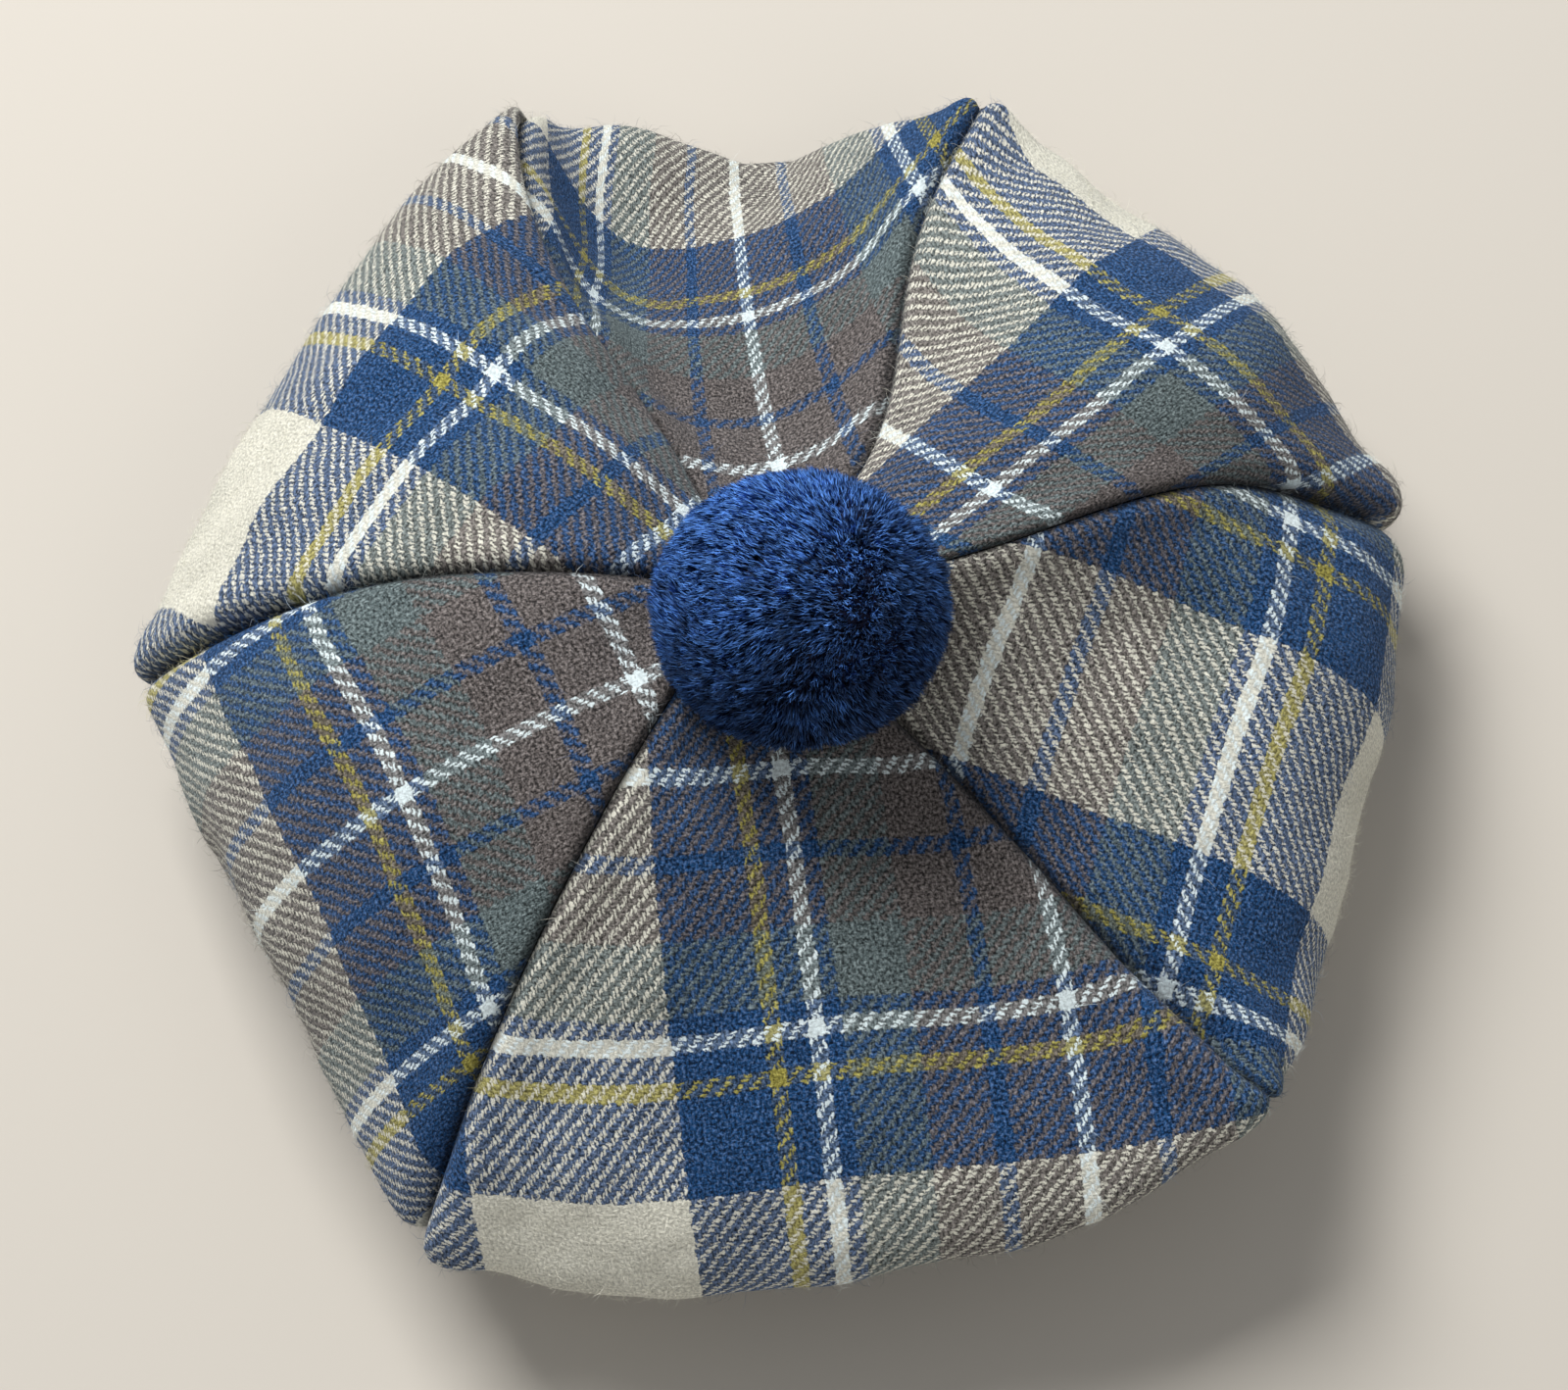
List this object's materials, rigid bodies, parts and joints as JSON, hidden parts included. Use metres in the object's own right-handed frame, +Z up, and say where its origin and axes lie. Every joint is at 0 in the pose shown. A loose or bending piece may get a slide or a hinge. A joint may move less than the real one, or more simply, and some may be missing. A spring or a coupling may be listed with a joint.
{
  "type": "tam o shanter",
  "caption": "Soft six-gored wool cap in a blue, grey and cream check, with a round headband and a cut-pile pompom on the crown.",
  "frame": {"origin": "middle of the hat's outline, on the plane of the headband's lower edge", "axes": "+Z up through the crown, -Y towards the front gore, +X towards the wearer's left"},
  "size_m": [0.276, 0.2828, 0.128],
  "materials": {
    "checked_wool": "brushed twill, checked",
    "headband_wool": "brushed twill, checked",
    "pompom_yarn": "dense cut pile"
  },
  "bodies": {
    "root": {"panel_front": "checked_wool", "panel_front_right": "checked_wool", "panel_back_right": "checked_wool", "panel_back": "checked_wool", "panel_back_left": "checked_wool", "panel_front_left": "checked_wool", "headband": "headband_wool", "pompom": "pompom_yarn"}
  },
  "joints": []
}
